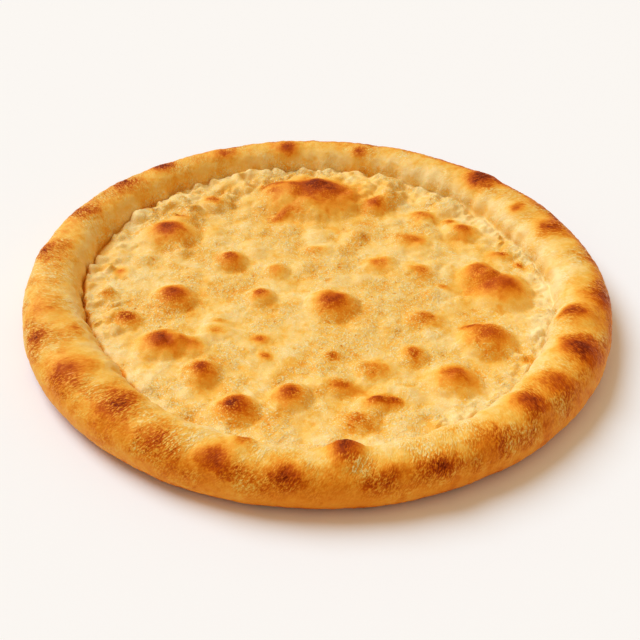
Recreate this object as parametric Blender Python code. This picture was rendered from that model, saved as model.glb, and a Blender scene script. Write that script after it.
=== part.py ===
"""A baked pizza crust: one solid of bread with a puffed rim, a thin floor and oven blisters.

Metres, +Z up. The origin is the middle of the flat underside, which rests on the table at z = 0.
A bearing is an angle seen from above, anticlockwise from +X. A turn is an angle round the rim's
section: 0 is the outer side, 90 the crest, 180 the foot of the inner wall, -90 the edge it stands on.
"""

import math
from collections import namedtuple

import bpy
import numpy as np

MM = 0.001

# The rim at twelve bearings, 30 degrees apart from +X on, because dough never rises evenly.
OUTER_RADIUS = np.array([150.5, 151, 149.5, 149, 147.5, 149.5, 149, 150, 150.5, 150.5, 150, 150]) * MM
CREASE_RADIUS = np.array([121.5, 118.5, 123, 123.5, 125, 124, 122, 116.5, 121, 124, 122.5, 119.5]) * MM
RIM_HEIGHT = np.array([22, 21.5, 21, 21, 21.5, 22, 22.5, 22.5, 22.5, 22, 22, 22]) * MM

FLOOR_HEIGHT = 9 * MM  # the thin middle, before it blisters
SIDE_HEIGHT = 9.5 * MM  # where the rim bulges furthest out
UNDERCUT = 10 * MM  # how far the rim tucks in below that, down to the edge it stands on
SECTION_FULLNESS = 0.88  # 1 gives an elliptical rim, less a fuller one
DOME_FULLNESS = 1.1  # 1 gives a blister that meets the floor at a sharp foot, more a softer one

# One blister of the floor, in mm and degrees: its middle, its half sizes along and across its
# turn, and its height.
FloorBlister = namedtuple("FloorBlister", "x y half_length half_width turn height")
FLOOR_BLISTERS = [
    # the great dome at the back, its left flank and its right shoulder
    FloorBlister(-3, 90, 32, 25, 0, 9.5),
    FloorBlister(-28, 88, 18, 17, 10, 4),
    FloorBlister(31, 82, 10, 9, 0, 4.5),
    # the pair of domes on the right, with the ridges behind them
    FloorBlister(97, 1, 17, 18, 0, 8),
    FloorBlister(85, 15, 12, 12, 0, 6),
    FloorBlister(99, 36, 9, 6, 0, 2.5),
    # blisters with dark caps
    FloorBlister(-83, 47, 19, 17, 10, 7),
    FloorBlister(-78, 62, 11, 6, -20, 3),
    FloorBlister(-73, -12, 13, 13, 0, 6),
    FloorBlister(-75, -50, 14, 13, 0, 6),
    FloorBlister(-61, -50, 11, 9, -20, 3.5),
    FloorBlister(-53, -70, 11, 11, 0, 5),
    FloorBlister(-35, -96, 12, 12, 0, 6.5),
    FloorBlister(-11, -86, 11, 11, 0, 5.5),
    FloorBlister(-94, -31, 9, 9, 0, 4),
    FloorBlister(-47, 23, 10, 10, 0, 5),
    FloorBlister(-29, -9, 9, 9, 0, 4),
    FloorBlister(8, -15, 15, 14, 0, 6.5),
    FloorBlister(84, -40, 16, 15, 0, 6.5),
    FloorBlister(65, -71, 15, 13, 0, 6),
    # shallow golden swellings
    FloorBlister(80, 58, 12, 10, -15, 4),
    FloorBlister(59, 73, 11, 7, -15, 3),
    FloorBlister(50, 47, 13, 11, 0, 3),
    FloorBlister(33, 24, 11, 9, 0, 2.5),
    FloorBlister(54, 18, 11, 8, -30, 2.5),
    FloorBlister(-1, 36, 10, 6, 0, 2),
    FloorBlister(54, -25, 13, 8, 15, 2.5),
    FloorBlister(47, -53, 8, 9, 0, 3),
    FloorBlister(28, -64, 11, 9, 0, 2.5),
    FloorBlister(12, -78, 11, 7, 0, 2.5),
    FloorBlister(29, -89, 12, 8, 10, 2.5),
    FloorBlister(20, -101, 11, 8, 0, 3),
    FloorBlister(-22, 15, 8, 8, 0, 2.5),
    FloorBlister(-104, 11, 8, 7, 0, 2),
    FloorBlister(-107, -12, 7, 7, 0, 2.5),
    FloorBlister(-49, -38, 10, 8, 0, 2),
    # pale lumps against the rim
    FloorBlister(-52, 101, 10, 9, 0, 4),
    FloorBlister(-62, 81, 12, 10, 0, 4),
    FloorBlister(-36, 111, 9, 8, 0, 3),
    FloorBlister(-79, 79, 10, 8, 30, 3),
    FloorBlister(13, 115, 8, 6, 0, 2.5),
    FloorBlister(26, 110, 9, 8, 0, 3),
    FloorBlister(40, 107, 10, 8, 0, 3),
    FloorBlister(64, 91, 8, 7, 0, 3),
    FloorBlister(73, 82, 10, 9, 0, 4),
    FloorBlister(-108, 25, 8, 8, 0, 2.5),
]

# One blister of the rim: its bearing and turn in degrees, and its half sizes and height in mm.
RimBlister = namedtuple("RimBlister", "bearing turn half_length half_width height")
RIM_BLISTERS = [
    RimBlister(99, 108, 12, 11, 1.5),
    RimBlister(80, 112, 10, 9, 1),
    RimBlister(46, 88, 14, 12, 1.5),
    RimBlister(31, 108, 9, 8, 1),
    RimBlister(20, 92, 13, 11, 1.5),
    RimBlister(-7, 66, 14, 11, 1),
    RimBlister(-14, 106, 13, 11, 2.5),
    RimBlister(-26, 80, 14, 12, 2),
    RimBlister(-38, 76, 13, 12, 1.5),
    RimBlister(-46, 82, 13, 11, 2),
    RimBlister(-69, 46, 13, 10, 1),
    RimBlister(-84, 112, 11, 13, 4),
    RimBlister(-94, 55, 13, 11, 1),
    RimBlister(-103, 118, 9, 9, 1.5),
    RimBlister(-106, 63, 13, 11, 1.5),
    RimBlister(-128, 84, 14, 12, 1.5),
    RimBlister(-142, 63, 14, 12, 1.5),
    RimBlister(-163, 70, 13, 10, 1),
    RimBlister(175, 62, 14, 10, 1),
    RimBlister(159, 80, 12, 10, 1),
    RimBlister(144, 82, 13, 11, 1),
    RimBlister(116, 100, 12, 10, 1),
]

# Low lumps of risen dough, scattered over the floor between the blisters.
LUMP_COUNT = 170
LUMP_RADIUS = (5 * MM, 9 * MM)
LUMP_HEIGHT = (0.4 * MM, 1.3 * MM)
LUMP_SEED = 7
BACK_LUMP_GAIN = 1.0  # those furthest back are this much taller again

RELIEF_FADE = 5 * MM  # the floor's relief dies away over this distance, up to the crease

FACET = 4.45 * MM  # how far apart the solid's points are
EXTRA_RIM_STEPS = 4  # because the fuller section is longer than the circle that it is measured on
CRUST_COLOUR = (0.72, 0.42, 0.13, 1)
CRUST_ROUGHNESS = 0.6


def around(values, bearing):
    """A smooth closed curve through values that lie evenly round the circle, read at each bearing."""
    count = len(values)
    place = bearing / math.tau * count
    first = np.floor(place).astype(int)
    part = place - first
    a, b, c, d = (values[(first + step) % count] for step in (-1, 0, 1, 2))
    return 0.5 * (
        2 * b
        + (c - a) * part
        + (2 * a - 5 * b + 4 * c - d) * part**2
        + (3 * b - a - 3 * c + d) * part**3
    )


def dome(distance):
    """The height of a dome of radius 1 and height 1."""
    return np.clip(1 - distance**2, 0, None) ** DOME_FULLNESS


def ellipse_distance(east, north, blister):
    """How far each place lies from a blister's middle, where 1 is its edge."""
    turn = math.radians(blister.turn)
    along = (east - blister.x * MM) * math.cos(turn) + (north - blister.y * MM) * math.sin(turn)
    across = (north - blister.y * MM) * math.cos(turn) - (east - blister.x * MM) * math.sin(turn)
    return np.hypot(along / (blister.half_length * MM), across / (blister.half_width * MM))


def lumps():
    """The place, radius and height of each low lump."""
    draw = np.random.default_rng(LUMP_SEED)
    reach = CREASE_RADIUS.mean() * np.sqrt(draw.uniform(0, 1, LUMP_COUNT))
    bearing = draw.uniform(0, math.tau, LUMP_COUNT)
    radius = draw.uniform(*LUMP_RADIUS, LUMP_COUNT)
    height = draw.uniform(*LUMP_HEIGHT, LUMP_COUNT)
    east, north = reach * np.cos(bearing), reach * np.sin(bearing)
    height *= 1 + BACK_LUMP_GAIN * np.clip(north / CREASE_RADIUS.mean(), 0, 1)
    return zip(east, north, radius, height)


def floor_rise(east, north):
    """How far blisters and lumps lift the floor."""
    rise = np.zeros_like(east)
    for blister in FLOOR_BLISTERS:
        rise += blister.height * MM * dome(ellipse_distance(east, north, blister))
    for lump_east, lump_north, radius, height in lumps():
        rise += height * dome(np.hypot(east - lump_east, north - lump_north) / radius)
    return rise


def rim_section(bearing, turn):
    """The radius and height of the rim's surface before it blisters, at one turn."""
    outer = around(OUTER_RADIUS, bearing)
    crease = around(CREASE_RADIUS, bearing)
    height = around(RIM_HEIGHT, bearing)
    if turn < 0:
        radius = outer - UNDERCUT * (1 - math.cos(turn))
        return radius, np.full_like(bearing, SIDE_HEIGHT * (1 + math.sin(turn)))
    crest = (outer + crease) / 2
    across = abs(math.cos(turn)) ** SECTION_FULLNESS * math.copysign(1, math.cos(turn))
    upward = abs(math.sin(turn)) ** SECTION_FULLNESS
    foot = SIDE_HEIGHT if turn < math.pi / 2 else FLOOR_HEIGHT
    return crest + across * (outer - crest), foot + upward * (height - foot)


def rim_rise(bearing, turn):
    """How far the rim's blisters stand out of its section, at one turn."""
    rise = np.zeros_like(bearing)
    section_radius = (OUTER_RADIUS.mean() - CREASE_RADIUS.mean()) / 2
    for blister in RIM_BLISTERS:
        away = bearing - math.radians(blister.bearing)
        along = np.arctan2(np.sin(away), np.cos(away)) * OUTER_RADIUS.mean()
        across = (turn - math.radians(blister.turn)) * section_radius
        distance = np.hypot(along / (blister.half_length * MM), across / (blister.half_width * MM))
        rise += blister.height * MM * dome(distance)
    return rise


def floor_ring(ring, ring_count):
    """One ring of the floor's points: ring 0 is the middle, the last is the crease."""
    point_count = max(1, 6 * ring)
    bearing = np.arange(point_count) * math.tau / point_count
    crease = around(CREASE_RADIUS, bearing)
    radius = crease * ring / ring_count
    east, north = radius * np.cos(bearing), radius * np.sin(bearing)
    to_crease = np.clip((crease - radius) / RELIEF_FADE, 0, 1)
    fade = to_crease**2 * (3 - 2 * to_crease)
    return np.stack([east, north, FLOOR_HEIGHT + floor_rise(east, north) * fade], axis=-1)


def rim_ring(turn, point_count):
    """One ring of the rim's points, at one turn, pushed out by the blisters."""
    bearing = np.arange(point_count) * math.tau / point_count
    radius, level = rim_section(bearing, turn)
    rise = rim_rise(bearing, turn)
    radius = radius + rise * math.cos(turn)
    level = level + rise * math.sin(turn)
    return np.stack([radius * np.cos(bearing), radius * np.sin(bearing), level], axis=-1)


def floor_faces(ring_count):
    """Triangles of a disc whose ring k holds 6k points, so that all are of about one size."""
    faces = []
    start = 0
    for ring in range(ring_count):
        inner_count, outer_count = max(1, 6 * ring), 6 * (ring + 1)
        next_start = start + inner_count
        for sector in range(6):
            for step in range(ring + 1):
                inner = start + (sector * ring + step) % inner_count
                inner_next = start + (sector * ring + step + 1) % inner_count
                outer = next_start + (sector * (ring + 1) + step) % outer_count
                outer_next = next_start + (sector * (ring + 1) + step + 1) % outer_count
                faces.append((inner, outer, outer_next))
                if step < ring:
                    faces.append((inner, outer_next, inner_next))
        start = next_start
    return faces


def band_faces(start, point_count):
    """Triangles between a ring of points and the next ring."""
    faces = []
    for point in range(point_count):
        here, ahead = start + point, start + (point + 1) % point_count
        faces.append((here, here + point_count, ahead + point_count))
        faces.append((here, ahead + point_count, ahead))
    return faces


def crust_mesh():
    """The closed surface: the floor, the rim from its inner foot to its edge, the flat underside."""
    ring_count = round(CREASE_RADIUS.mean() / FACET)
    point_count = 6 * ring_count
    rings = [floor_ring(ring, ring_count) for ring in range(ring_count + 1)]
    faces = floor_faces(ring_count)
    girth = math.pi / 2 * (OUTER_RADIUS.mean() - CREASE_RADIUS.mean() + UNDERCUT)
    rim_steps = round(girth / FACET) + EXTRA_RIM_STEPS
    last_start = sum(map(len, rings)) - point_count
    for turn in np.linspace(math.pi, -math.pi / 2, rim_steps + 1)[1:]:
        faces += band_faces(last_start, point_count)
        rings.append(rim_ring(turn, point_count))
        last_start += point_count
    faces.append(tuple(reversed(range(last_start, last_start + point_count))))
    mesh = bpy.data.meshes.new("crust")
    mesh.from_pydata(np.concatenate(rings).tolist(), [], faces)
    mesh.shade_smooth()
    return mesh


def crust_material():
    """Baked bread: matt and golden."""
    material = bpy.data.materials.new("baked_crust")
    material.use_nodes = True
    shader = material.node_tree.nodes["Principled BSDF"]
    shader.inputs["Base Color"].default_value = CRUST_COLOUR
    shader.inputs["Roughness"].default_value = CRUST_ROUGHNESS
    shader.inputs["Metallic"].default_value = 0
    return material


def main():
    for old in list(bpy.data.objects):
        bpy.data.objects.remove(old)
    crust = bpy.data.objects.new("crust", crust_mesh())
    crust.data.materials.append(crust_material())
    bpy.context.scene.collection.objects.link(crust)


main()
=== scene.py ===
"""A baked pizza crust on a pale table, in soft light from the back left.

Metres, +Z up. A bearing is an angle seen from above, anticlockwise from +X. A turn is an angle round
the rim's section: 0 is the outer side, 90 the crest, 180 the foot of the inner wall, -90 the edge
that the crust stands on. The crust is made in three steps: rings of points give its form, Geometry
Nodes give the skin and crumb their fine relief, and a material bakes it from cream to dark brown.
Its colours also carry some painted shade and painted highlights, as the comments below say.
"""

import math
from collections import namedtuple

import bpy
import numpy as np
from mathutils import Matrix, Vector


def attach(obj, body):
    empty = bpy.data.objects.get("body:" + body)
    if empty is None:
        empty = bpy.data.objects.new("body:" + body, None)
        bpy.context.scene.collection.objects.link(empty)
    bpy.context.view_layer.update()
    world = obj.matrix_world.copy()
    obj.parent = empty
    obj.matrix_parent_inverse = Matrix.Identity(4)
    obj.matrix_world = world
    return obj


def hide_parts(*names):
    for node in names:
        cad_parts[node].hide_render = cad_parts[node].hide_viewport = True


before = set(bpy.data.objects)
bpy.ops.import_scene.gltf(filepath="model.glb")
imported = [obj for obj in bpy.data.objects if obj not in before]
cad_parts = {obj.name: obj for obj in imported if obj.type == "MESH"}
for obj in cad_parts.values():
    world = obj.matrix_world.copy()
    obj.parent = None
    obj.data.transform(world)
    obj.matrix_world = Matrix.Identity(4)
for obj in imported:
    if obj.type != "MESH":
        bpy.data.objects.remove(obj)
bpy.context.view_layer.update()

MM = 0.001

# The camera of the photograph, fitted to the crust's outline and to the crease round its floor.
LENS = 61.2  # in mm, before a sensor this wide
SENSOR = 36
CAMERA_NEAREST = 10 * MM
CAMERA_ELEVATION = 37.28
CAMERA_ROLL = 1.54
CAMERA_DISTANCE = 560 * MM
CAMERA_TARGET = Vector((1.8, -14.1, 0)) * MM

# The form of the crust, as in the solid that it stands for. Values that go round the crust lie 30
# degrees apart, from +X on.
OUTER_RADIUS = np.array([150.5, 151, 149.5, 149, 147.5, 149.5, 149, 150, 150.5, 150.5, 150, 150]) * MM
CREASE_RADIUS = np.array([121.5, 118.5, 123, 123.5, 125, 124, 122, 116.5, 121, 124, 122.5, 119.5]) * MM
RIM_HEIGHT = np.array([22, 21.5, 21, 21, 21.5, 22, 22.5, 22.5, 22.5, 22, 22, 22]) * MM
FLOOR_HEIGHT = 9 * MM
SIDE_HEIGHT = 9.5 * MM  # where the rim bulges furthest out
UNDERCUT = 10 * MM  # how far the rim tucks in below that
SECTION_FULLNESS = 0.88  # 1 makes the rim's section an ellipse, and less makes it fuller
DOME_FULLNESS = 1.1  # 1 makes a blister a round dome, and more makes it slimmer

# A blister of the floor, in mm and degrees. turn is how far its length is turned from +X, patch is
# the browned share of its width, and bake is how dark its middle has baked, from 0 for pale to 1 for
# dark brown, and a little more for nearly burnt.
FloorBlister = namedtuple("FloorBlister", "x y half_length half_width turn height patch bake")
FLOOR_BLISTERS = [
    # the great dome at the back, its left flank and its right shoulder
    FloorBlister(-3, 90, 32, 25, 0, 9.5, 0.66, 0.52),
    FloorBlister(-28, 88, 18, 17, 10, 4, 0.25, 0.4),
    FloorBlister(31, 82, 10, 9, 0, 4.5, 0.6, 0.8),
    # the pair of domes on the right, with the ridges behind them
    FloorBlister(97, 1, 17, 18, 0, 8, 0.6, 0.45),
    FloorBlister(85, 15, 12, 12, 0, 6, 0.8, 0.76),
    FloorBlister(99, 36, 9, 6, 0, 2.5, 0.6, 0.65),
    # blisters with dark caps
    FloorBlister(-83, 47, 19, 17, 10, 7, 0.5, 1.15),
    FloorBlister(-78, 62, 11, 6, -20, 3, 0.45, 0.7),
    FloorBlister(-73, -12, 13, 13, 0, 6, 0.6, 1.05),
    FloorBlister(-75, -50, 14, 13, 0, 6, 0.64, 1.0),
    FloorBlister(-61, -50, 11, 9, -20, 3.5, 0.55, 0.55),
    FloorBlister(-53, -70, 11, 11, 0, 5, 0.55, 0.9),
    FloorBlister(-35, -96, 12, 12, 0, 6.5, 0.65, 1.08),
    FloorBlister(-11, -86, 11, 11, 0, 5.5, 0.62, 0.95),
    FloorBlister(-94, -31, 9, 9, 0, 4, 0.62, 0.85),
    FloorBlister(-47, 23, 10, 10, 0, 5, 0.55, 0.85),
    FloorBlister(-29, -9, 9, 9, 0, 4, 0.52, 0.85),
    FloorBlister(8, -15, 15, 14, 0, 6.5, 0.62, 0.9),
    FloorBlister(84, -40, 16, 15, 0, 6.5, 0.62, 0.8),
    FloorBlister(65, -71, 15, 13, 0, 6, 0.58, 0.78),
    # shallow golden swellings
    FloorBlister(80, 58, 12, 10, -15, 4, 0.55, 0.75),
    FloorBlister(59, 73, 11, 7, -15, 3, 0.65, 0.5),
    FloorBlister(50, 47, 13, 11, 0, 3, 0.65, 0.5),
    FloorBlister(33, 24, 11, 9, 0, 2.5, 0.6, 0.5),
    FloorBlister(54, 18, 11, 8, -30, 2.5, 0.65, 0.5),
    FloorBlister(-1, 36, 10, 6, 0, 2, 0.6, 0.35),
    FloorBlister(54, -25, 13, 8, 15, 2.5, 0.75, 0.4),
    FloorBlister(47, -53, 8, 9, 0, 3, 0.6, 0.6),
    FloorBlister(28, -64, 11, 9, 0, 2.5, 0.7, 0.4),
    FloorBlister(12, -78, 11, 7, 0, 2.5, 0.8, 0.45),
    FloorBlister(29, -89, 12, 8, 10, 2.5, 0.5, 0.35),
    FloorBlister(20, -101, 11, 8, 0, 3, 0.8, 0.5),
    FloorBlister(-22, 15, 8, 8, 0, 2.5, 0.7, 0.45),
    FloorBlister(-104, 11, 8, 7, 0, 2, 0.4, 0.55),
    FloorBlister(-107, -12, 7, 7, 0, 2.5, 0.6, 0.4),
    FloorBlister(-49, -38, 10, 8, 0, 2, 0.7, 0.3),
    # pale lumps against the rim
    FloorBlister(-52, 101, 10, 9, 0, 4, 0, 0),
    FloorBlister(-62, 81, 12, 10, 0, 4, 0.45, 0.5),
    FloorBlister(-36, 111, 9, 8, 0, 3, 0, 0),
    FloorBlister(-79, 79, 10, 8, 30, 3, 0, 0),
    FloorBlister(13, 115, 8, 6, 0, 2.5, 0, 0),
    FloorBlister(26, 110, 9, 8, 0, 3, 0, 0),
    FloorBlister(40, 107, 10, 8, 0, 3, 0, 0),
    FloorBlister(64, 91, 8, 7, 0, 3, 0, 0),
    FloorBlister(73, 82, 10, 9, 0, 4, 0, 0),
    FloorBlister(-108, 25, 8, 8, 0, 2.5, 0, 0),
    # the dark streak on the great dome and the orange ones on its left
    FloorBlister(-2, 92, 20, 10, 0, 0.5, 0.95, 1.12),
    FloorBlister(-29, 98, 9, 5, 0, 0.8, 0.9, 0.65),
    FloorBlister(-21, 71, 9, 4, 40, 0.8, 0.9, 0.7),
    # the browned patch on the left of the pair on the right
    FloorBlister(91, 3, 14, 11, 0, 0.5, 0.8, 0.7),
    # small browned spots between them
    FloorBlister(76, -31, 6, 5, 0, 0.8, 0.8, 0.85),
    FloorBlister(74, 68, 6, 4, -20, 0.8, 0.8, 0.6),
    FloorBlister(29, -88, 5, 3, -20, 0.8, 0.9, 0.75),
    FloorBlister(37, -87, 5, 3.5, -20, 0.8, 0.9, 0.75),
    FloorBlister(-27, -43, 6, 5, 0, 1, 0.8, 0.6),
    FloorBlister(-24, -56, 5, 4, -30, 0.8, 0.8, 0.7),
    FloorBlister(8, -55, 6, 5, 0, 0.8, 0.7, 0.45),
    FloorBlister(66, 5, 5, 3, -30, 0.8, 0.8, 0.5),
    FloorBlister(108, 26, 6, 3, -50, 1.5, 0.7, 0.6),
    FloorBlister(102, -54, 5, 4, 50, 0.8, 0.8, 0.5),
    FloorBlister(-48, -30, 7, 3, 0, 0.6, 0.8, 0.35),
]

# A blister of the rim: its bearing and turn in degrees, its half sizes along and across the rim and
# its height in mm, and how it has browned, as on the floor.
RimBlister = namedtuple("RimBlister", "bearing turn half_length half_width height patch bake")
RIM_BLISTERS = [
    RimBlister(99, 108, 12, 11, 1.5, 0.6, 0.85),
    RimBlister(80, 112, 10, 9, 1, 0.6, 0.5),
    RimBlister(46, 88, 14, 12, 1.5, 0.72, 1.4),
    RimBlister(31, 108, 9, 8, 1, 0.5, 0.65),
    RimBlister(20, 92, 13, 11, 1.5, 0.65, 0.85),
    RimBlister(-7, 66, 14, 11, 1, 0.7, 0.75),
    RimBlister(-14, 106, 13, 11, 2.5, 0.7, 0.85),
    RimBlister(-26, 80, 14, 12, 2, 0.75, 1.04),
    RimBlister(-38, 76, 13, 12, 1.5, 0.8, 0.65),
    RimBlister(-46, 82, 13, 11, 2, 0.7, 0.89),
    RimBlister(-58, 70, 14, 10, 0.6, 0.8, 0.5),
    RimBlister(-69, 46, 13, 10, 1, 0.65, 0.7),
    RimBlister(-77, 52, 10, 8, 0.5, 0.7, 0.55),
    RimBlister(-84, 112, 11, 13, 4, 0.75, 1.2),
    RimBlister(-94, 55, 13, 11, 1, 0.6, 0.8),
    RimBlister(-103, 118, 9, 9, 1.5, 0.6, 0.6),
    RimBlister(-106, 63, 13, 11, 1.5, 0.65, 0.75),
    RimBlister(-117, 68, 16, 10, 0.5, 0.8, 0.4),
    RimBlister(-128, 84, 14, 12, 1.5, 0.85, 0.9),
    RimBlister(-142, 63, 14, 12, 1.5, 0.9, 0.62),
    RimBlister(-155, 49, 14, 10, 0.5, 0.7, 0.35),
    RimBlister(-155, 115, 8, 7, 0.5, 0.5, 0.4),
    RimBlister(-163, 70, 13, 10, 1, 0.7, 0.3),
    RimBlister(175, 62, 14, 10, 1, 0.6, 0.65),
    RimBlister(159, 80, 12, 10, 1, 0.7, 0.65),
    RimBlister(144, 82, 13, 11, 1, 0.6, 0.85),
    RimBlister(132, 84, 11, 8, 0.6, 0.7, 0.75),
    RimBlister(116, 100, 12, 10, 1, 0.5, 0.6),
]

# Low lumps of risen dough, scattered over the floor, and up to twice as high towards the back.
LUMP_COUNT = 170
LUMP_RADIUS = (5 * MM, 9 * MM)
LUMP_HEIGHT = (0.4 * MM, 1.3 * MM)
LUMP_SEED = 7

# Puffy curds that crowd against the rim: how many, from which bearing to which, in degrees, how
# far in from the crease they reach and how wide the smallest and the largest are, in mm.
CurdField = namedtuple("CurdField", "count first_bearing last_bearing reach small large")
CURD_FIELDS = (
    CurdField(90, 62, 150, 28, 5, 15),
    CurdField(150, 45, 205, 16, 2.5, 10),
    CurdField(220, -60, 62, 8, 2.6, 6),
)
CURD_HEIGHT = (0.2, 0.44)  # of the flattest and of the tallest, as a share of its width
CURD_SWAY = 1.1 * MM  # how far each of two waves pushes a curd's outline about
CURD_SWAY_LENGTHS = (13 * MM, 7.5 * MM)  # how long those waves are
CURD_GATHERING = 1.1  # above 1, the curds gather at the crease
CURD_CLEARANCE = 5 * MM  # curds lie between the blisters, and not on one that stands this high
CURD_MERGING = 3  # from 1, where overlapping curds pile up, to many, where the taller hides the other
CURD_SEED = 11

# The crease between floor and rim, with the groove that runs along it.
RELIEF_FADE = 2.5 * MM  # what rises from the floor dies away over this distance, up to the crease
GROOVE_DEPTH = 3 * MM
GROOVE_WIDTH = 1.5 * MM
# How far the groove is open, 30 degrees apart: on the right and at the back, the floor runs on into
# the rim.
GROOVE_SHARE = np.array([0.03, 0.03, 0.03, 0.05, 0.15, 0.45, 0.9, 1, 1, 0.7, 0.2, 0.03])
# How crumbly the inner wall is at its foot, 30 degrees apart: 0 where it meets the floor in a clean
# fold.
CREASE_CRUMBLE = np.array([0.5, 0.6, 0.8, 1, 1, 0.9, 0.6, 0.2, 0, 0, 0, 0.2])
CRUMBLE_FROM = math.radians(140)  # the turn up to which the inner wall is crumbly
CREASE_WAVES = (9, 14, 23, 31, 45, 61, 83)  # waves in the crease, counted round the crust
CREASE_WAVE_HEIGHT = 0.3 * MM
CREASE_SEED = 2

# The mesh: a disc of small triangles for the floor, bands of them for the rim, and a coarser disc
# for the underside.
SECTOR_COUNT = 6  # each ring of a disc has this many more points than the ring inside it
RING_COUNT = 120  # rings of the floor, about 1 mm apart, and even, as the underside has half as many
UNDERSIDE_RING_COUNT = RING_COUNT // 2
POINT_COUNT = SECTOR_COUNT * RING_COUNT  # points of each ring of the rim
RIM_STEPS = 54  # steps round the rim's section

# How far the rim is coloured as browned between its blisters, 30 degrees apart, and at which turns. Its
# side and inner wall also carry painted light and shade.
CREST_BAKE = np.array([0.16, 0.18, 0.2, 0.2, 0.22, 0.24, 0.24, 0.16, 0.11, 0.1, 0.12, 0.14])
# The outer side is paler on the left, where the key light falls, and darker at the front and right, which
# lie in its shade: partly painted light and shade, partly the crust's own browning.
SIDE_BAKE_AND_SHADE = np.array([0.42, 0.5, 0.52, 0.5, 0.38, 0.24, 0.14, 0.26, 0.36, 0.4, 0.4, 0.38])
# Painted shade: the inner wall is darker and more saturated at the back left, which faces away from the
# key light.
INNER_BAKE_AND_SHADE = np.array([0.06, 0.06, 0.07, 0.1, 0.13, 0.12, 0.1, 0.09, 0.08, 0.07, 0.07, 0.06])
EDGE_TOAST_AND_SHADE = 0.85  # how dark the edge that the crust stands on is: toasted where it stood on the oven's stone, and on the rim's side also painted shade for the dark line where it meets the table
EDGE_TURNS = (math.radians(-15), math.radians(-70))  # between these the side darkens to that
CREST_TURN = math.pi / 2
SIDE_TURN = np.radians([48, 54, 52, 45, 35, 25, 20, 20, 20, 20, 25, 36])
INNER_TURN = math.radians(145)
# How much the rim's skin has crackled at each turn in degrees.
CRACKLE_TURNS = (-90, -40, 0, 35, 65, 90, 115, 140, 180)
CRACKLE = (0.1, 0.1, 0.35, 1, 1, 0.85, 0.6, 0.4, 0.25)

FLOOR_BAKE = 0.13  # how far the floor has browned between its blisters
# How much paler the floor is at the crease, 30 degrees apart, and how far in from it.
CREASE_PALENESS = np.array([0.13, 0.12, 0.08, 0.06, 0.06, 0.06, 0.06, 0.06, 0.06, 0.07, 0.09, 0.11])
CREASE_PALE_WIDTH = 12 * MM
GROOVE_PAINTED_SHADE = 0.45  # painted shade: how much darker the bottom of the groove is coloured, for the shade in the crease

# The underside is toasted at its edge and in spots, where it lay on the stone, and pale and a little
# hollow between them.
UNDERSIDE_BAKE = 0.18
UNDERSIDE_RIM_WIDTH = 9 * MM  # how far in from its edge it has browned like the edge
TOASTED_COUNT = 190
TOASTED_RADIUS = (4 * MM, 15 * MM)
TOASTED_BAKE = (0.1, 0.5)
TOASTED_FALL = 4  # how sharply a spot ends
TOASTED_FLAT = 0.5  # what has browned this far lies flat on the stone
TOASTED_SEED = 3
HOLLOW_HEIGHT = 0.8 * MM
HOLLOW_MARGIN = 20 * MM  # how far in from the edge a hollow can be that high

# A blister browns in a dark core with an amber halo: how wide each is, as a share of the browned
# patch, how sharply it ends, and how far it browns a blister whose bake is 1.
CORE_SHARE = 0.76
CORE_FALL = 2.2
CORE_BAKE = 0.78
HALO_SHARE = 1.25
HALO_FALL = 2
HALO_BAKE = 0.26
HALO_SHADE_SHIFT = 0.26  # painted shade: how far front and right of the core the halo lies, as a share of the half sizes, so that the flank away from the key light is coloured amber

# The relief that Geometry Nodes lift out of the form: how far apart its features lie, how high they
# stand, where their pattern lies, how much finer detail it has, whether it is puffed, and which part
# of the crust has it, or all of it. A puffed relief is round on top with creases between. place is
# where a point lies, and skin is the rim's surface laid round an upright cylinder.
Relief = namedtuple("Relief", "name size height where detail puffed on")
RELIEFS = (
    Relief("Swell", 30 * MM, 0.9 * MM, "place", 1, False, None),
    Relief("Curd", 12 * MM, 1.4 * MM, "place", 0, True, "crumb"),
    Relief("Pebble", 5 * MM, 0.8 * MM, "place", 0, True, "crumb"),
    Relief("Grain", 2.4 * MM, 0.42 * MM, "place", 1, False, None),
    Relief("Wrinkle", 4 * MM, 0.6 * MM, "skin", 2, False, "crackle"),
)
CENTRE_CRUMB = 0.5  # how crumbly the middle of the floor is, where its edge is 1
BLISTER_CRUMB = 0.5  # what is left of that on a tall blister
PUFF_CURVE = 2.4  # how steeply a puff falls away from its middle
PUFF_MIDDLE = 0.5  # how high its middle stands, as a share of the relief's height
WRINKLE_STRETCH = 1.9  # how much longer a wrinkle is than wide
WRINKLE_SLANT = 0.4  # how far a wrinkle runs along the rim for each metre that it runs up it
FOOT_FADE = 3 * MM  # the relief dies away below this height, down to the edge that the crust stands on
RELIEF_SEED = 5.0  # how far each pattern is shifted, in metres: another value gives another crust

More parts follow.
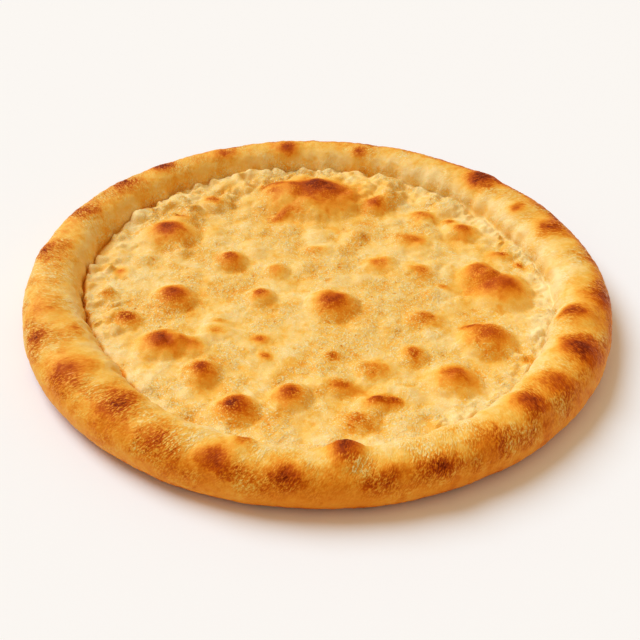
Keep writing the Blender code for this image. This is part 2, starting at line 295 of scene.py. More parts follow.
# The markings of the surface, each of them noise between two bounds: how far apart its spots lie,
# where, in how much detail, which of the noise shows, what share of it leaves the dough as it is,
# how much it browns pale dough, how much more it browns dough that is browned already, how high it
# stands and which part of the crust has it, or all of it. The markings that stand up or sink also
# carry painted light: their sunk pits are browner, as painted shade, and their raised specks and
# strokes paler, as painted highlights and glints, over the dough's own speckled tone. The real
# skin's finest crazing lies about 0.3 mm apart. It is drawn at 0.7 mm, as fine as still shows.
Marking = namedtuple("Marking", "size where detail low high rest browns browns_more height on")
MARKINGS = (
    Marking(16 * MM, "place", 2, 0.35, 0.65, 0.5, 0.06, 0.05, 0, None),
    Marking(7 * MM, "place", 3, 0.5, 0.68, 0.15, 0.1, 0.1, 0, None),
    Marking(3 * MM, "place", 2, 0.62, 0.72, 0, 0.18, 0.1, -0.3 * MM, "granular"),
    Marking(1.6 * MM, "place", 2, 0.44, 0.66, 0.4, -0.13, -0.15, 0.22 * MM, "granular"),
    Marking(0.8 * MM, "place", 1, 0.54, 0.62, 0.12, -0.19, -0.14, 0.13 * MM, "granular"),
    Marking(12 * MM, "skin", 3, 0.4, 0.62, 0.4, 0.14, 0.08, 0, "crackled"),
    Marking(4 * MM, "skin", 2, 0.5, 0.65, 0.2, 0.1, 0.1, 0, "crackled"),
    Marking(1.6 * MM, "skin", 3, 0.4, 0.6, 0.5, -0.1, 0, 0.2 * MM, "crackled"),
    Marking(0.7 * MM, "skin", 2, 0.45, 0.6, 0.45, -0.25, -0.12, 0.2 * MM, "crackled"),
)
MARKING_ROUGHNESS = 0.6  # how strong the finer detail of each marking is
HOLLOW_PAINTED_SHADE = -0.09 / MM  # painted shade and highlight: how much browner the dough is coloured for each metre that its relief rises, below 0, so that its hollows are browner and its rises paler
GRANULAR_SIZE = 18 * MM  # how far apart the smooth and the grainy areas of the crust lie
GRANULAR_DETAIL = 2
GRANULAR_BOUNDS = (0.44, 0.6)  # the noise where the crust is smoothest, and where it is grainiest
SMOOTH_GRAIN = 0.2  # what is left of the grain where the crust is smoothest
CAP_GRAIN = 0.5  # how much more grain a dark cap has
SLEEKNESS = 0.7  # how much of the grain the sleek flanks of the blisters lack

# Baked dough, from the palest crumb to the nearly burnt tops of the blisters.
BAKED_COLOURS = (
    (0.0, "FBE1A0"),
    (0.08, "F7D283"),
    (0.16, "F6C562"),
    (0.24, "F3B544"),
    (0.34, "F09E2A"),
    (0.46, "E48412"),
    (0.6, "CC6204"),
    (0.74, "B84C04"),
    (0.87, "A03A02"),
    (1.0, "741E00"),
)

# The finish of the dough. The tops of its fine relief are waxy, and its palest parts reflect most.
GLINT_HEIGHTS = (0.04, 0.15)  # in mm, from where the fine relief is matt to where it is waxy
GLINT_ROUGHNESS = (0.6, 0.3)
GLOSS_BAKES = (0.3, 0.65)  # how far dough has browned that reflects most, and that reflects least
GLOSS_LEVELS = (0.7, 0.2)
REFLECTION_COLOUR = "FFB868"
SCATTER_SHARE = 0.2  # how much of the light goes into the dough and comes out again
SCATTER_RADIUS = (1, 0.5, 0.2)  # how far its red, green and blue go, as a share of the depth
SCATTER_DEPTH = 1.5 * MM

TABLE_COLOUR = "F7F6F5"
TABLE_ROUGHNESS = 0.9
TABLE_SPECULAR = 0.1
TABLE_HALF_WIDTH = 3.0
TABLE_DROP = 0.2 * MM  # how far the table lies below the crust, so that they share no plane
BACKDROP_COLOUR = "FAF6F3"

# A cool key and a warm fill add up to the photograph's plain white, and leave the shade warm.
KEY_COLOUR = "D6EAFF"
KEY_STRENGTH = 3.0
KEY_BEARING = 142
KEY_ELEVATION = 47
KEY_WIDTH = 38  # how wide the light looks from the crust, in degrees, which gives its soft shadows
FILL_COLOUR = "F9DDB4"
FILL_STRENGTH = 0.6


def around(values, bearing):
    """A smooth closed curve through values that lie evenly round the circle, read at each bearing."""
    count = len(values)
    place = bearing / math.tau * count
    first = np.floor(place).astype(int)
    part = place - first
    a, b, c, d = (values[(first + step) % count] for step in (-1, 0, 1, 2))
    return 0.5 * (
        2 * b
        + (c - a) * part
        + (2 * a - 5 * b + 4 * c - d) * part**2
        + (3 * b - a - 3 * c + d) * part**3
    )


def dome(distance):
    """The height of a dome of radius 1 and height 1."""
    return np.clip(1 - distance**2, 0, None) ** DOME_FULLNESS


def smooth(value):
    """0 below 0, 1 above 1 and a soft step between."""
    value = np.clip(value, 0, 1)
    return value * value * (3 - 2 * value)


def browned(distance, halo_distance, blister):
    """How far a blister has browned, by how far each place lies from the middle of its core and of
    its halo, where 1 is the blister's edge, and how far the halo shows."""
    if not blister.patch:
        return np.zeros_like(distance), np.zeros_like(distance)
    core = CORE_BAKE * np.exp(-((distance / (CORE_SHARE * blister.patch)) ** CORE_FALL))
    halo = np.exp(-((halo_distance / (HALO_SHARE * blister.patch)) ** HALO_FALL))
    return 1 - (1 - core * blister.bake) * (1 - HALO_BAKE * blister.bake * halo), halo * (1 - core)


def ellipse_distance(east, north, blister, shift=0):
    """How far each place lies from a blister's middle, where 1 is its edge."""
    turn = math.radians(blister.turn)
    east = east - (blister.x + shift * blister.half_length) * MM
    north = north - (blister.y - shift * blister.half_width) * MM
    along = east * math.cos(turn) + north * math.sin(turn)
    across = north * math.cos(turn) - east * math.sin(turn)
    return np.hypot(along / (blister.half_length * MM), across / (blister.half_width * MM))


def lumps():
    """The place, radius and height of each low lump, which stands higher towards the back."""
    draw = np.random.default_rng(LUMP_SEED)
    reach = CREASE_RADIUS.mean() * np.sqrt(draw.uniform(0, 1, LUMP_COUNT))
    bearing = draw.uniform(0, math.tau, LUMP_COUNT)
    radius = draw.uniform(*LUMP_RADIUS, LUMP_COUNT)
    height = draw.uniform(*LUMP_HEIGHT, LUMP_COUNT)
    east, north = reach * np.cos(bearing), reach * np.sin(bearing)
    height *= 1 + np.clip(north / CREASE_RADIUS.mean(), 0, 1)
    return zip(east, north, radius, height)


def curds(field, draw):
    """The place, radius and height of each puffy curd of one field."""
    bearing = np.radians(draw.uniform(field.first_bearing, field.last_bearing, field.count))
    inside = field.reach * MM * draw.uniform(0, 1, field.count) ** CURD_GATHERING
    reach = crease_radius(bearing) - inside
    radius = draw.uniform(field.small / 2, field.large / 2, field.count) * MM
    height = 2 * radius * draw.uniform(*CURD_HEIGHT, field.count)
    return zip(reach * np.cos(bearing), reach * np.sin(bearing), radius, height)


def swayed(along, across):
    """A coordinate that strays a little as one goes across it, which makes round things uneven."""
    return along + CURD_SWAY * sum(np.sin(math.tau * across / length) for length in CURD_SWAY_LENGTHS)


def crease_radius(bearing):
    """How far out the crease lies, with the small waves that the smooth form leaves out."""
    draw = np.random.default_rng(CREASE_SEED)
    radius = around(CREASE_RADIUS, bearing)
    for waves in CREASE_WAVES:
        radius = radius + CREASE_WAVE_HEIGHT * np.sin(waves * bearing + draw.uniform(0, math.tau))
    return radius


def floor_surface(east, north):
    """How far blisters, lumps and curds lift the floor, how far it has browned, how sleek its skin is
    and how clear it is of tall blisters."""
    rise = np.zeros_like(east)
    pale = np.ones_like(east)
    dull = np.ones_like(east)
    for blister in FLOOR_BLISTERS:
        distance = ellipse_distance(east, north, blister)
        # The halo is set off to the front and right, as painted shade on the flank away from the key
        # light.
        browning, halo = browned(distance, ellipse_distance(east, north, blister, HALO_SHADE_SHIFT), blister)
        rise += blister.height * MM * dome(distance)
        pale *= 1 - browning
        dull *= 1 - halo
    clear = 1 - smooth(rise / CURD_CLEARANCE)
    for lump_east, lump_north, radius, height in lumps():
        rise += height * dome(np.hypot(east - lump_east, north - lump_north) / radius)
    draw = np.random.default_rng(CURD_SEED)
    puffs = np.zeros_like(east)
    uneven_east, uneven_north = swayed(east, north), swayed(north, east)
    for field in CURD_FIELDS:
        for curd_east, curd_north, radius, height in curds(field, draw):
            distance = np.hypot(uneven_east - curd_east, uneven_north - curd_north) / radius
            puffs += (height * np.clip(1 - distance**2, 0, None)) ** CURD_MERGING
    return rise + clear * puffs ** (1 / CURD_MERGING), 1 - pale, 1 - dull, clear


def rim_section(bearing, turn):
    """The radius and height of the rim's surface before it blisters."""
    outer = around(OUTER_RADIUS, bearing)
    crease = crease_radius(bearing)
    height = around(RIM_HEIGHT, bearing)
    crest = (outer + crease) / 2
    across = np.abs(np.cos(turn)) ** SECTION_FULLNESS * np.sign(np.cos(turn))
    upward = np.abs(np.sin(turn)) ** SECTION_FULLNESS
    foot = np.where(turn < CREST_TURN, SIDE_HEIGHT, FLOOR_HEIGHT)
    radius = np.where(turn < 0, outer - UNDERCUT * (1 - np.cos(turn)), crest + across * (outer - crest))
    level = np.where(turn < 0, SIDE_HEIGHT * (1 + np.sin(turn)), foot + upward * (height - foot))
    return radius, level


def rim_surface(bearing, turn):
    """How far the rim's blisters stand out of its section, and how far it has browned."""
    rise = np.zeros_like(bearing)
    pale = np.ones_like(bearing)
    section_radius = (OUTER_RADIUS.mean() - CREASE_RADIUS.mean()) / 2
    for blister in RIM_BLISTERS:
        away = bearing - math.radians(blister.bearing)
        along = np.arctan2(np.sin(away), np.cos(away)) * OUTER_RADIUS.mean()
        across = (turn - math.radians(blister.turn)) * section_radius
        distance = np.hypot(along / (blister.half_length * MM), across / (blister.half_width * MM))
        rise += blister.height * MM * dome(distance)
        pale *= 1 - browned(distance, distance, blister)[0]
    return rise, 1 - pale


def disc_points(ring_count):
    """The bearing and the share of the radius of each point of a disc, ring by ring from its middle."""
    counts = [max(1, SECTOR_COUNT * ring) for ring in range(ring_count + 1)]
    bearing = np.concatenate([np.arange(count) * math.tau / count for count in counts])
    share = np.concatenate([np.full(count, ring / ring_count) for ring, count in enumerate(counts)])
    return bearing, share


def disc_faces(ring_count):
    """Triangles of such a disc, all of about one size."""
    faces = []
    start = 0
    for ring in range(ring_count):
        inner_count, outer_count = max(1, SECTOR_COUNT * ring), SECTOR_COUNT * (ring + 1)
        next_start = start + inner_count
        for sector in range(SECTOR_COUNT):
            for step in range(ring + 1):
                inner = start + (sector * ring + step) % inner_count
                inner_next = start + (sector * ring + step + 1) % inner_count
                outer = next_start + (sector * (ring + 1) + step) % outer_count
                outer_next = next_start + (sector * (ring + 1) + step + 1) % outer_count
                faces.append((inner, outer, outer_next))
                if step < ring:
                    faces.append((inner, outer_next, inner_next))
        start = next_start
    return np.array(faces)


def band_faces(first, point_count):
    """Triangles between a ring of points and the next ring."""
    here = first + np.arange(point_count)
    ahead = first + (np.arange(point_count) + 1) % point_count
    left = np.stack([here, here + point_count, ahead + point_count], axis=-1)
    right = np.stack([here, ahead + point_count, ahead], axis=-1)
    return np.concatenate([left, right])


def halving_faces(outer_first, inner_first, inner_count):
    """Triangles between the ring that the crust stands on and one inside it with half the points."""
    step = np.arange(inner_count)
    inner, inner_next = inner_first + step, inner_first + (step + 1) % inner_count
    outer = outer_first + 2 * step
    outer_next = outer_first + (2 * step + 2) % (2 * inner_count)
    return np.concatenate([
        np.stack([outer, inner, outer + 1], axis=-1),
        np.stack([inner, inner_next, outer + 1], axis=-1),
        np.stack([inner_next, outer_next, outer + 1], axis=-1),
    ])


def skin_places(bearing, across):
    """Where each point lies on the skin, rolled onto a cylinder so that a pattern can run across it."""
    crest = (OUTER_RADIUS.mean() + CREASE_RADIUS.mean()) / 2
    slanted = bearing + across * WRINKLE_SLANT / crest
    return np.stack([crest * np.cos(slanted), crest * np.sin(slanted), across], axis=-1)


def floor_part():
    """The floor from its middle out to the crease, as places and what each carries."""
    bearing, share = disc_points(RING_COUNT)
    crease = crease_radius(bearing)
    radius = crease * share
    inside = crease - radius
    east, north = radius * np.cos(bearing), radius * np.sin(bearing)
    rise, browning, sleek, clear = floor_surface(east, north)
    groove = np.exp(-((inside / GROOVE_WIDTH) ** 2)) * around(GROOVE_SHARE, bearing)
    level = FLOOR_HEIGHT + rise * smooth(inside / RELIEF_FADE) - GROOVE_DEPTH * groove
    paleness = around(CREASE_PALENESS, bearing) * np.exp(-((inside / CREASE_PALE_WIDTH) ** 2))
    # Painted shade darkens the bottom of the groove.
    ground = FLOOR_BAKE - paleness + GROOVE_PAINTED_SHADE * groove
    crumb = CENTRE_CRUMB + (1 - CENTRE_CRUMB) * share**2
    return {
        "place": np.stack([east, north, level], axis=-1),
        "bake": ground + (1 - ground) * browning,
        "crumb": crumb * (BLISTER_CRUMB + (1 - BLISTER_CRUMB) * clear),
        "crackle": np.zeros_like(radius),
        "sleek": sleek,
        "free": np.ones_like(radius),
        "skin": np.stack([east, north, np.zeros_like(radius)], axis=-1),
    }


def rim_part():
    """The rim, from the foot of its inner wall over the crest and down to the edge it stands on."""
    turns = np.linspace(math.pi, -math.pi / 2, RIM_STEPS + 1)[1:]
    turn = np.repeat(turns, POINT_COUNT)
    bearing = np.tile(np.arange(POINT_COUNT) * math.tau / POINT_COUNT, RIM_STEPS)
    radius, level = rim_section(bearing, turn)
    rise, browning = rim_surface(bearing, turn)
    radius = radius + rise * np.cos(turn)
    level = level + rise * np.sin(turn)
    side_end, edge_start = EDGE_TURNS
    side_share = smooth((CREST_TURN - turn) / (CREST_TURN - around(SIDE_TURN, bearing)))
    inner_share = smooth((turn - CREST_TURN) / (INNER_TURN - CREST_TURN))
    edge_share = smooth((side_end - turn) / (side_end - edge_start))
    crest_bake = around(CREST_BAKE, bearing)
    # The outer side carries painted light and shade: paler on the left, where the key light falls, and
    # darker at the front and right.
    ground = crest_bake + (around(SIDE_BAKE_AND_SHADE, bearing) - crest_bake) * side_share
    # Painted shade: the inner wall darkens at the back left, away from the key light.
    ground += (around(INNER_BAKE_AND_SHADE, bearing) - crest_bake) * inner_share
    # The edge darkens with its toast and with painted shade where it meets the table.
    ground += (EDGE_TOAST_AND_SHADE - ground) * edge_share
    crumb = smooth((turn - CRUMBLE_FROM) / (math.pi - CRUMBLE_FROM))
    girth = (math.pi - turn) * (OUTER_RADIUS.mean() - CREASE_RADIUS.mean()) / 2
    return {
        "place": np.stack([radius * np.cos(bearing), radius * np.sin(bearing), level], axis=-1),
        "bake": ground + (1 - ground) * browning,
        "crumb": around(CREASE_CRUMBLE, bearing) * crumb,
        "crackle": np.interp(np.degrees(turn), CRACKLE_TURNS, CRACKLE),
        "sleek": np.zeros_like(radius),
        "free": smooth(level / FOOT_FADE),
        "skin": skin_places(bearing, girth),
    }


def toasted(east, north):
    """How far the underside has browned in the spots where it lay on the stone."""
    draw = np.random.default_rng(TOASTED_SEED)
    pale = np.ones_like(east)
    reach = OUTER_RADIUS.mean() * np.sqrt(draw.uniform(0, 1, TOASTED_COUNT))
    bearing = draw.uniform(0, math.tau, TOASTED_COUNT)
    radius = draw.uniform(*TOASTED_RADIUS, TOASTED_COUNT)
    bake = draw.uniform(*TOASTED_BAKE, TOASTED_COUNT)
    spots = zip(reach * np.cos(bearing), reach * np.sin(bearing), radius, bake)
    for spot_east, spot_north, spot_radius, spot_bake in spots:
        distance = np.hypot(east - spot_east, north - spot_north) / spot_radius
        pale *= 1 - spot_bake * np.exp(-(distance**TOASTED_FALL))
    return 1 - pale


def underside_part():
    """The underside, whose edge and toasted spots are flat, with hollows between. Its last ring lies
    half a step inside the edge that the crust stands on."""
    bearing, share = disc_points(UNDERSIDE_RING_COUNT)
    edge = around(OUTER_RADIUS, bearing) - UNDERCUT
    radius = edge * share * (1 - 0.5 / UNDERSIDE_RING_COUNT)
    inside = edge - radius
    zeros = np.zeros_like(radius)
    east, north = radius * np.cos(bearing), radius * np.sin(bearing)
    browning = toasted(east, north)
    edge_bake = EDGE_TOAST_AND_SHADE * np.exp(-((inside / UNDERSIDE_RIM_WIDTH) ** 2))
    hollow = HOLLOW_HEIGHT * smooth(1 - browning / TOASTED_FLAT) * smooth(inside / HOLLOW_MARGIN)
    return {
        "place": np.stack([east, north, hollow], axis=-1),
        "bake": 1 - (1 - UNDERSIDE_BAKE) * (1 - browning) * (1 - edge_bake),
        "crumb": zeros,
        "crackle": zeros,
        "sleek": zeros,
        "free": zeros,
        "skin": skin_places(bearing, -inside),
    }


def crust_form():
    """The closed form of the crust, with what each of its points carries."""
    parts = (floor_part(), rim_part(), underside_part())
    floor_count, rim_count, underside_count = (len(part["bake"]) for part in parts)
    crease_first = floor_count - POINT_COUNT
    underside_first = floor_count + rim_count
    edge_first = underside_first - POINT_COUNT
    last_ring_first = underside_first + underside_count - POINT_COUNT // 2
    faces = [disc_faces(RING_COUNT)]
    faces += [band_faces(crease_first + step * POINT_COUNT, POINT_COUNT) for step in range(RIM_STEPS)]
    faces.append(halving_faces(edge_first, last_ring_first, POINT_COUNT // 2))
    faces.append(underside_first + disc_faces(UNDERSIDE_RING_COUNT)[:, ::-1])
    mesh = bpy.data.meshes.new("crust_form")
    places = np.concatenate([part["place"] for part in parts])
    mesh.from_pydata(places.tolist(), [], np.concatenate(faces).tolist())
    for name in ("bake", "crumb", "crackle", "sleek", "free"):
        attribute = mesh.attributes.new(name, "FLOAT", "POINT")
        attribute.data.foreach_set("value", np.concatenate([part[name] for part in parts]))
    attribute = mesh.attributes.new("skin", "FLOAT_VECTOR", "POINT")
    attribute.data.foreach_set("vector", np.concatenate([part["skin"] for part in parts]).ravel())
    return mesh


def set_inputs(tree, node, inputs):
    """Gives each input of a node its value, or links it to the output of another node."""
    for socket, value in inputs.items():
        if isinstance(value, bpy.types.NodeSocket):
            tree.links.new(value, node.inputs[socket])
        else:
            node.inputs[socket].default_value = value


def add_node(tree, kind, inputs, **settings):
    """Adds a node with its settings and its inputs."""
    node = tree.nodes.new(kind)
    for name, value in settings.items():
        setattr(node, name, value)
    set_inputs(tree, node, inputs)
    return node


def linear(colour):
    """The linear RGBA of an sRGB hex colour."""
    channels = [int(colour[place : place + 2], 16) / 255 for place in (0, 2, 4)]
    return [c / 12.92 if c <= 0.04045 else ((c + 0.055) / 1.055) ** 2.4 for c in channels] + [1]


def relief_values():
    """The number that each named input of the relief's tree is given."""
    values = {"Wrinkle stretch": WRINKLE_STRETCH, "Seed": RELIEF_SEED}
    for relief in RELIEFS:
        values[relief.name + " size"] = relief.size
        values[relief.name + " height"] = relief.height
    return values


def carried_by_points(tree, given):
    """What the points of the form carry, with the skin stretched and all patterns shifted by the seed."""
    carried = {"place": tree.nodes.new("GeometryNodeInputPosition").outputs[0]}
    kinds = {"crumb": "FLOAT", "crackle": "FLOAT", "free": "FLOAT", "skin": "FLOAT_VECTOR"}
    for name, kind in kinds.items():
        reader = add_node(tree, "GeometryNodeInputNamedAttribute", {"Name": name}, data_type=kind)
        carried[name] = reader.outputs["Attribute"]
    squash = add_node(tree, "ShaderNodeMath", {0: 1.0, 1: given["Wrinkle stretch"]}, operation="DIVIDE")
    squashes = add_node(tree, "ShaderNodeCombineXYZ", {0: 1.0, 1: 1.0, 2: squash.outputs[0]})
    stretched = {0: carried["skin"], 1: squashes.outputs[0]}
    carried["skin"] = add_node(tree, "ShaderNodeVectorMath", stretched, operation="MULTIPLY").outputs[0]
    for name in ("place", "skin"):
        seeded = {0: carried[name], 1: given["Seed"]}
        carried[name] = add_node(tree, "ShaderNodeVectorMath", seeded, operation="ADD").outputs[0]
    return carried


def relief_pattern(tree, relief, carried, size):
    """How far one relief lifts the surface, as a share of its height."""
    scale = add_node(tree, "ShaderNodeMath", {0: 1.0, 1: size}, operation="DIVIDE").outputs[0]
    pattern = {"Vector": carried[relief.where], "Scale": scale, "Detail": relief.detail}
    if relief.puffed:
        cells = add_node(tree, "ShaderNodeTexVoronoi", pattern, feature="SMOOTH_F1").outputs["Distance"]
        square = add_node(tree, "ShaderNodeMath", {0: cells, 1: cells}, operation="MULTIPLY")
        shaped = {0: square.outputs[0], 1: -PUFF_CURVE, 2: PUFF_MIDDLE}
    else:
        noise = add_node(tree, "ShaderNodeTexNoise", pattern).outputs[0]
        shaped = {0: noise, 1: 2.0, 2: -1.0}  # noise from 0 to 1 lifts the surface by -1 to 1
    lift = add_node(tree, "ShaderNodeMath", shaped, operation="MULTIPLY_ADD").outputs[0]
    if relief.on:
        limited = {0: lift, 1: carried[relief.on]}
        lift = add_node(tree, "ShaderNodeMath", limited, operation="MULTIPLY").outputs[0]
    return lift


def relief_tree():
    """Geometry Nodes that lift the crust's surface: swells and grain all over, curds and pebbles where
    it is crumbly and wrinkles where its skin has crackled, all faded out where it stands on the
    table."""
    tree = bpy.data.node_groups.new("baked_relief", "GeometryNodeTree")
    tree.interface.new_socket("Geometry", in_out="INPUT", socket_type="NodeSocketGeometry")
    for name in relief_values():
        tree.interface.new_socket(name, in_out="INPUT", socket_type="NodeSocketFloat")
    tree.interface.new_socket("Material", in_out="INPUT", socket_type="NodeSocketMaterial")
    tree.interface.new_socket("Geometry", in_out="OUTPUT", socket_type="NodeSocketGeometry")
    given = tree.nodes.new("NodeGroupInput").outputs
    normal = tree.nodes.new("GeometryNodeInputNormal").outputs[0]
    carried = carried_by_points(tree, given)

    lift = 0.0
    for relief in RELIEFS:
        pattern = relief_pattern(tree, relief, carried, given[relief.name + " size"])
        added = {0: pattern, 1: given[relief.name + " height"], 2: lift}
        lift = add_node(tree, "ShaderNodeMath", added, operation="MULTIPLY_ADD").outputs[0]
    faded = {0: lift, 1: carried["free"]}
    lift = add_node(tree, "ShaderNodeMath", faded, operation="MULTIPLY").outputs[0]

    offset = add_node(tree, "ShaderNodeVectorMath", {0: normal, "Scale": lift}, operation="SCALE")
    moved = {"Geometry": given["Geometry"], "Offset": offset.outputs[0]}
    lifted = add_node(tree, "GeometryNodeSetPosition", moved)
    stored = {"Geometry": lifted.outputs[0], "Name": "lift", "Value": lift}
    noted = add_node(tree, "GeometryNodeStoreNamedAttribute", stored)
    soft = add_node(tree, "GeometryNodeSetShadeSmooth", {"Geometry": noted.outputs[0]})
    real = add_node(tree, "GeometryNodeRealizeInstances", {"Geometry": soft.outputs[0]})
    baked = {"Geometry": real.outputs[0], "Material": given["Material"]}
    coated = add_node(tree, "GeometryNodeSetMaterial", baked)
    add_node(tree, "NodeGroupOutput", {"Geometry": coated.outputs[0]})
    return tree


def carried_into_dough(tree):
    """What the points of the crust carry into their material, with the skin stretched."""
    carried = {"place": tree.nodes.new("ShaderNodeTexCoord").outputs["Object"]}
    for name in ("bake", "crumb", "crackle", "sleek", "lift"):
        carried[name] = add_node(tree, "ShaderNodeAttribute", {}, attribute_name=name).outputs["Fac"]
    skin = add_node(tree, "ShaderNodeAttribute", {}, attribute_name="skin").outputs["Vector"]
    stretched = {"Vector": skin, "Scale": (1, 1, 1 / WRINKLE_STRETCH)}
    carried["skin"] = add_node(tree, "ShaderNodeMapping", stretched).outputs[0]
    return carried


def dough_grain(tree, carried):
    """How strong the fine markings are, granular on the floor and crackled on the rim. They come and
    go in wide areas, and are strong on dark caps and weak on the sleek flanks of the blisters."""
    pattern = {"Vector": carried["place"], "Scale": 1 / GRANULAR_SIZE, "Detail": GRANULAR_DETAIL}
    areas = add_node(tree, "ShaderNodeTexNoise", pattern).outputs["Fac"]
    smoothest, grainiest = GRANULAR_BOUNDS
    grain = {"Value": areas, "From Min": smoothest, "From Max": grainiest, "To Min": SMOOTH_GRAIN}
    grain = add_node(tree, "ShaderNodeMapRange", grain).outputs[0]
    capped = {0: carried["bake"], 1: CAP_GRAIN, 2: grain}
    grain = add_node(tree, "ShaderNodeMath", capped, operation="MULTIPLY_ADD").outputs[0]
    dull = {0: carried["sleek"], 1: -SLEEKNESS, 2: 1.0}
    dull = add_node(tree, "ShaderNodeMath", dull, operation="MULTIPLY_ADD").outputs[0]
    crumbly = {0: carried["crumb"], 1: 1 / CENTRE_CRUMB}
    crumbly = add_node(tree, "ShaderNodeMath", crumbly, operation="MULTIPLY", use_clamp=True).outputs[0]
    rough = add_node(tree, "ShaderNodeMath", {0: dull, 1: crumbly}, operation="MULTIPLY").outputs[0]
    strengths = {"granular": rough, "crackled": carried["crackle"]}
    return {
        name: add_node(tree, "ShaderNodeMath", {0: grain, 1: strength}, operation="MULTIPLY").outputs[0]
        for name, strength in strengths.items()
    }


def dough_markings(tree, carried):
    """How far the dough is coloured as browned, with painted shade in its hollows and pits and
    painted highlights on its raised grain, and how high its fine relief stands, in mm.
    """
    # Painted shade browns the hollows of the relief and pales its rises.
    hollowed = {0: carried["lift"], 1: HOLLOW_PAINTED_SHADE, 2: carried["bake"]}
    level = add_node(tree, "ShaderNodeMath", hollowed, operation="MULTIPLY_ADD").outputs[0]
    height = 0.0
    for marking in MARKINGS:
        pattern = {"Vector": carried[marking.where], "Scale": 1 / marking.size}
        pattern.update({"Detail": marking.detail, "Roughness": MARKING_ROUGHNESS})
        noise = add_node(tree, "ShaderNodeTexNoise", pattern).outputs["Fac"]
        bounds = {"Value": noise, "From Min": marking.low, "From Max": marking.high}
        bounds.update({"To Min": -marking.rest, "To Max": 1 - marking.rest})
        mark = add_node(tree, "ShaderNodeMapRange", bounds).outputs[0]
        if marking.on:
            limited = {0: mark, 1: carried[marking.on]}
            mark = add_node(tree, "ShaderNodeMath", limited, operation="MULTIPLY").outputs[0]
        browning = {0: carried["bake"], 1: marking.browns_more, 2: marking.browns}
        browning = add_node(tree, "ShaderNodeMath", browning, operation="MULTIPLY_ADD").outputs[0]
        browner = {0: mark, 1: browning, 2: level}
        level = add_node(tree, "ShaderNodeMath", browner, operation="MULTIPLY_ADD").outputs[0]
        higher = {0: mark, 1: marking.height / MM, 2: height}
        height = add_node(tree, "ShaderNodeMath", higher, operation="MULTIPLY_ADD").outputs[0]
    return level, height


def baked_colour(tree, level):
    """The colour of the dough, by how far it has browned."""
    ramp = add_node(tree, "ShaderNodeValToRGB", {"Fac": level})
    stops = ramp.color_ramp.elements
    for position, _ in BAKED_COLOURS[1:-1]:
        stops.new(position)
    for stop, (position, colour) in zip(stops, BAKED_COLOURS):
        stop.position = position
        stop.color = linear(colour)
    return ramp.outputs["Color"]


def baked_dough():
    """Baked dough: wheat dough browned in a hot oven. It is matt with small waxy glints, lets a
    little light in, and browns through gold and orange to dark spots on its blisters. Its colour
    also carries painted shade in the creases, hollows and pits, and painted highlights on the raised
    grain."""
    material = bpy.data.materials.new("oven_baked_wheat_dough")
    material.use_nodes = True
    tree = material.node_tree
    carried = carried_into_dough(tree)
    carried.update(dough_grain(tree, carried))
    level, height = dough_markings(tree, carried)
    bump = add_node(tree, "ShaderNodeBump", {"Height": height, "Strength": 1.0, "Distance": MM})
    waxy = {"Value": height, "From Min": GLINT_HEIGHTS[0], "From Max": GLINT_HEIGHTS[1]}
    waxy.update({"To Min": GLINT_ROUGHNESS[0], "To Max": GLINT_ROUGHNESS[1]})
    glossy = {"Value": level, "From Min": GLOSS_BAKES[0], "From Max": GLOSS_BAKES[1]}
    glossy.update({"To Min": GLOSS_LEVELS[0], "To Max": GLOSS_LEVELS[1]})
    finish = {
        "Base Color": baked_colour(tree, level),
        "Normal": bump.outputs[0],
        "Roughness": add_node(tree, "ShaderNodeMapRange", waxy).outputs[0],
        "Specular IOR Level": add_node(tree, "ShaderNodeMapRange", glossy).outputs[0],
        "Specular Tint": linear(REFLECTION_COLOUR),
        "Subsurface Weight": SCATTER_SHARE,
        "Subsurface Radius": SCATTER_RADIUS,
        "Subsurface Scale": SCATTER_DEPTH,
    }
    set_inputs(tree, tree.nodes["Principled BSDF"], finish)
    return material


def make_crust():
    """The crust's form, given its relief and its material by Geometry Nodes and made a plain mesh."""
    crust = bpy.data.objects.new("pizza_crust", crust_form())
    bpy.context.scene.collection.objects.link(crust)
    tree = relief_tree()
    modifier = crust.modifiers.new("relief", "NODES")
    modifier.node_group = tree
    values = {**relief_values(), "Material": baked_dough()}
    for socket in tree.interface.items_tree:
        if socket.in_out == "INPUT" and socket.name in values:
            modifier[socket.identifier] = values[socket.name]
    shown = crust.evaluated_get(bpy.context.evaluated_depsgraph_get())
    mesh = bpy.data.meshes.new_from_object(shown)
    crust.modifiers.remove(modifier)
    crust.data = mesh
    return crust


def make_stage():
    """A pale table that runs out of sight: board rolled with matt paint, so even and without shine."""
    material = bpy.data.materials.new("matt_painted_board")
    material.use_nodes = True
    paint = {
        "Base Color": linear(TABLE_COLOUR),
        "Roughness": TABLE_ROUGHNESS,
        "Specular IOR Level": TABLE_SPECULAR,
    }
    set_inputs(material.node_tree, material.node_tree.nodes["Principled BSDF"], paint)
    mesh = bpy.data.meshes.new("table")
    signs = ((-1, -1), (1, -1), (1, 1), (-1, 1))
    corners = [(x * TABLE_HALF_WIDTH, y * TABLE_HALF_WIDTH, -TABLE_DROP) for x, y in signs]
    mesh.from_pydata(corners, [], [(0, 1, 2, 3)])
    mesh.materials.append(material)
    table = bpy.data.objects.new("table", mesh)
    bpy.context.scene.collection.objects.link(table)


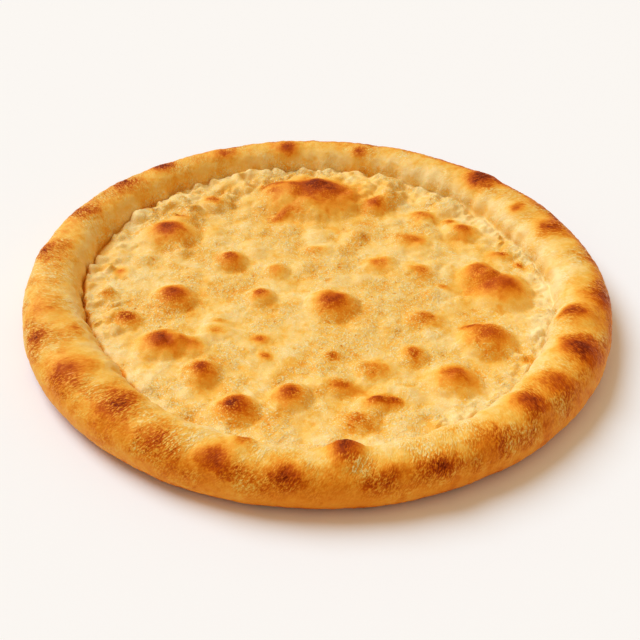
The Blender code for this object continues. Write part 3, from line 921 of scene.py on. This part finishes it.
def make_light():
    """A wide soft key from the back left and a warm fill all round. In the fill's place, the camera
    sees a plain pale backdrop."""
    key = bpy.data.lights.new("key", "SUN")
    key.energy = KEY_STRENGTH
    key.angle = math.radians(KEY_WIDTH)
    key.color = linear(KEY_COLOUR)[:3]
    lamp = bpy.data.objects.new("key", key)
    bearing, elevation = math.radians(KEY_BEARING), math.radians(KEY_ELEVATION)
    reach = math.cos(elevation)
    lamp.location = (reach * math.cos(bearing), reach * math.sin(bearing), math.sin(elevation))
    lamp.rotation_euler = (-lamp.location).to_track_quat("-Z", "Y").to_euler()
    bpy.context.scene.collection.objects.link(lamp)
    world = bpy.data.worlds.new("studio")
    world.use_nodes = True
    tree = world.node_tree
    fill = tree.nodes["Background"]
    set_inputs(tree, fill, {"Color": linear(FILL_COLOUR), "Strength": FILL_STRENGTH})
    backdrop = add_node(tree, "ShaderNodeBackground", {"Color": linear(BACKDROP_COLOUR)})
    seen = tree.nodes.new("ShaderNodeLightPath").outputs["Is Camera Ray"]
    mixed = add_node(tree, "ShaderNodeMixShader", {0: seen, 1: fill.outputs[0], 2: backdrop.outputs[0]})
    set_inputs(tree, tree.nodes["World Output"], {"Surface": mixed.outputs[0]})
    bpy.context.scene.world = world
    bpy.context.scene.view_settings.view_transform = "Standard"


def make_camera():
    """The photograph's camera: above the front edge, turned a little about its own line of sight."""
    tilt = math.radians(CAMERA_ELEVATION)
    forward = Vector((0, math.cos(tilt), -math.sin(tilt)))
    right = Vector((1, 0, 0))
    up = right.cross(forward)
    lens = bpy.data.cameras.new("camera")
    lens.lens = LENS
    lens.sensor_width = SENSOR
    lens.clip_start = CAMERA_NEAREST
    camera = bpy.data.objects.new("camera", lens)
    level = Matrix((right, up, -forward)).transposed()
    camera.matrix_world = (level @ Matrix.Rotation(math.radians(CAMERA_ROLL), 3, "Z")).to_4x4()
    camera.location = CAMERA_TARGET - forward * CAMERA_DISTANCE
    bpy.context.scene.collection.objects.link(camera)
    bpy.context.scene.camera = camera


crust = make_crust()
make_stage()
make_light()
make_camera()
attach(crust, "root")
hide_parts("crust")
